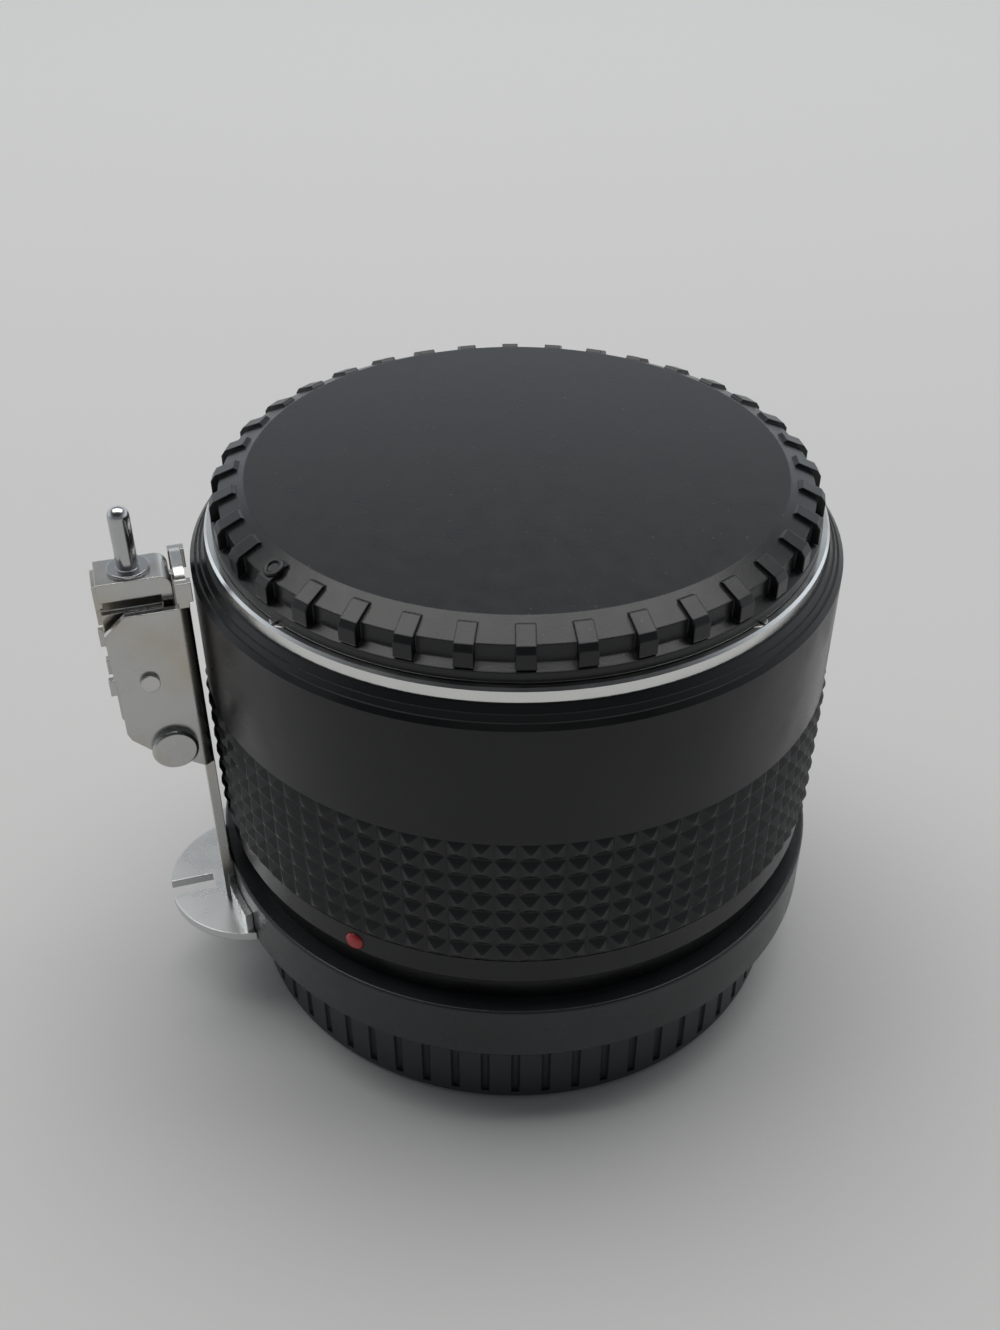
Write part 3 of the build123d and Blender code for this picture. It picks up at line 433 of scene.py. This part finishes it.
def round_wall(centre, across, normal, profile, steps):
    """Points and faces of a wall round a normal, from its profile of (reach, height)."""
    along = normal.cross(across)
    points = []
    for reach, height in profile:
        for step in range(steps):
            angle = 2 * pi * step / steps
            outward = across * cos(angle) + along * sin(angle)
            points.append(centre + outward * reach + normal * height)
    faces = []
    for ring in range(len(profile) - 1):
        for step in range(steps):
            after = (step + 1) % steps
            base = ring * steps
            faces.append((base + step, base + after, base + steps + after, base + steps + step))
    return points, faces


def enamel_drop():
    """The index dot as a low drop of enamel in its pocket on the lip."""
    steps = 40
    depth = 0.5 * MM
    rise = 0.42 * MM
    dome = [(1.0, 0.0), (0.96, 0.3), (0.82, 0.62), (0.55, 0.88), (0.25, 0.985)]
    low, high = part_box("index_dot")
    middle = (Vector(low) + Vector(high)) / 2
    radius = (high[2] - low[2]) / 2
    normal = Vector((middle.x, middle.y, 0)).normalized()
    across = Vector((-normal.y, normal.x, 0))
    face = middle + normal * depth / 2
    profile = [(radius, -depth)] + [(radius * out, rise * up) for out, up in dome]
    points, faces = round_wall(face, across, normal, profile, steps)
    last = len(points) - steps
    tip = len(points)
    points.append(face + normal * rise)
    faces.extend((last + step, last + (step + 1) % steps, tip) for step in range(steps))
    faces.append(tuple(reversed(range(steps))))
    made = add_mesh("index_drop", points, faces, finishes["dot_red"])
    for polygon in made.data.polygons:
        polygon.use_smooth = len(polygon.vertices) <= 4
    return made


drop = enamel_drop()
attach(drop, "barrel")
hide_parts("index_dot")


def index_ring():
    """The low raised ring among the cap's teeth that marks how the cap goes on."""
    steps = 32
    azimuth = radians(-139)
    place_radius = 28.2 * MM
    below_top = 0.8 * MM
    bevel_drop = 1.2
    bevel_run = 2.57
    outer_wall = [(1.0, -0.5), (1.0, 0.54), (0.92, 0.62)]
    inner_wall = [(0.66, 0.62), (0.58, 0.56), (0.55, 0.41)]
    cap_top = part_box("front_cap")[1][2]
    outward = Vector((cos(azimuth), sin(azimuth), 0))
    across = Vector((-outward.y, outward.x, 0))
    normal = (outward * bevel_drop + Vector((0, 0, bevel_run))).normalized()
    middle = outward * place_radius + Vector((0, 0, cap_top - below_top))
    profile = [(reach * MM, height * MM) for reach, height in outer_wall + inner_wall]
    points, faces = round_wall(middle, across, normal, profile, steps)
    faces.append(tuple(range(len(points) - steps, len(points))))
    faces.append(tuple(reversed(range(steps))))
    return add_mesh("cap_index_ring", points, faces, finishes["cap_plastic"])


mark = index_ring()
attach(mark, "front_cap")

# The leaf spring under the lock pin, cut across between its foot and its top
leaf_cuts = 16
leaf_low, leaf_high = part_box("lock_spring")


def pin_leaf():
    """The lock pin's leaf spring, cut across into bands along its height; the real spring bends
    when the pin goes down.
    """
    length = leaf_high[2] - leaf_low[2]
    shape = bmesh.new()
    shape.from_mesh(nodes["lock_spring"].data)
    for cut in range(1, leaf_cuts):
        place = Vector((0, 0, leaf_low[2] + length * cut / leaf_cuts))
        everything = shape.verts[:] + shape.edges[:] + shape.faces[:]
        bmesh.ops.bisect_plane(shape, geom=everything, plane_co=place, plane_no=(0, 0, 1))
    mesh = bpy.data.meshes.new("lock_leaf")
    shape.to_mesh(mesh)
    shape.free()
    mesh.materials.clear()
    mesh.materials.append(finishes["spring_steel"])
    return add_thing("lock_leaf", mesh)


leaf = pin_leaf()
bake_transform(leaf)
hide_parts("lock_spring")

# Floor
paper = finish_of("floor_paper", paper_colour, 0.0, paper_roughness)
place = add(paper, "ShaderNodeTexCoord")
back = add(paper, "ShaderNodeSeparateXYZ")
link(paper, place.outputs["Object"], back.inputs["Vector"])
farther = back.outputs["Y"]
# Painted light and shade: the paper's colour runs from dimmer near the camera to brighter farther
# back
vary(paper, "Base Color", farther, near_paper_painted_shade, far_paper_painted_light, paper_turn_start, paper_turn_stop)
relief(paper, speckle(paper, paper_grain_scale, 4), paper_grain_depth)
sides = ((-1, -1), (1, -1), (1, 1), (-1, 1))
corners = [(x * floor_reach, y * floor_reach, 0) for x, y in sides]
floor = add_mesh("floor", corners, [(0, 1, 2, 3)], paper)

# Lamp and room
panel = bpy.data.lights.new("ceiling", "AREA")
panel.shape = "RECTANGLE"
panel.size, panel.size_y = lamp_size
panel.energy = lamp_power
panel.color = lamp_colour
lamp = add_thing("ceiling", panel)
lamp.location = lamp_place
aim = Vector(lamp_target) - Vector(lamp_place)
lamp.rotation_euler = aim.to_track_quat("-Z", "Y").to_euler()

# The room is bright along the horizon behind the object, dim overhead and in front
room = bpy.data.worlds.new("room")
room.use_nodes = True
bpy.context.scene.world = room
parts = room.node_tree.nodes
wires = room.node_tree.links
glow = parts["Background"]
toward = parts.new("ShaderNodeTexCoord")
split = parts.new("ShaderNodeSeparateXYZ")
wires.new(toward.outputs["Generated"], split.inputs["Vector"])


def room_level(axis, start, stop, low, high):
    """Runs from low to high as a direction's share along an axis goes from start to stop."""
    level = parts.new("ShaderNodeMapRange")
    level.inputs["From Min"].default_value = start
    level.inputs["From Max"].default_value = stop
    level.inputs["To Min"].default_value = low
    level.inputs["To Max"].default_value = high
    wires.new(split.outputs[axis], level.inputs["Value"])
    return level.outputs["Result"]


strength = parts.new("ShaderNodeMath")
strength.operation = "MULTIPLY"
wires.new(room_level("Z", *room_by_height), strength.inputs[0])
wires.new(room_level("Y", *room_by_depth), strength.inputs[1])
wires.new(strength.outputs["Value"], glow.inputs["Strength"])
glow.inputs["Color"].default_value = (*room_colour, 1)
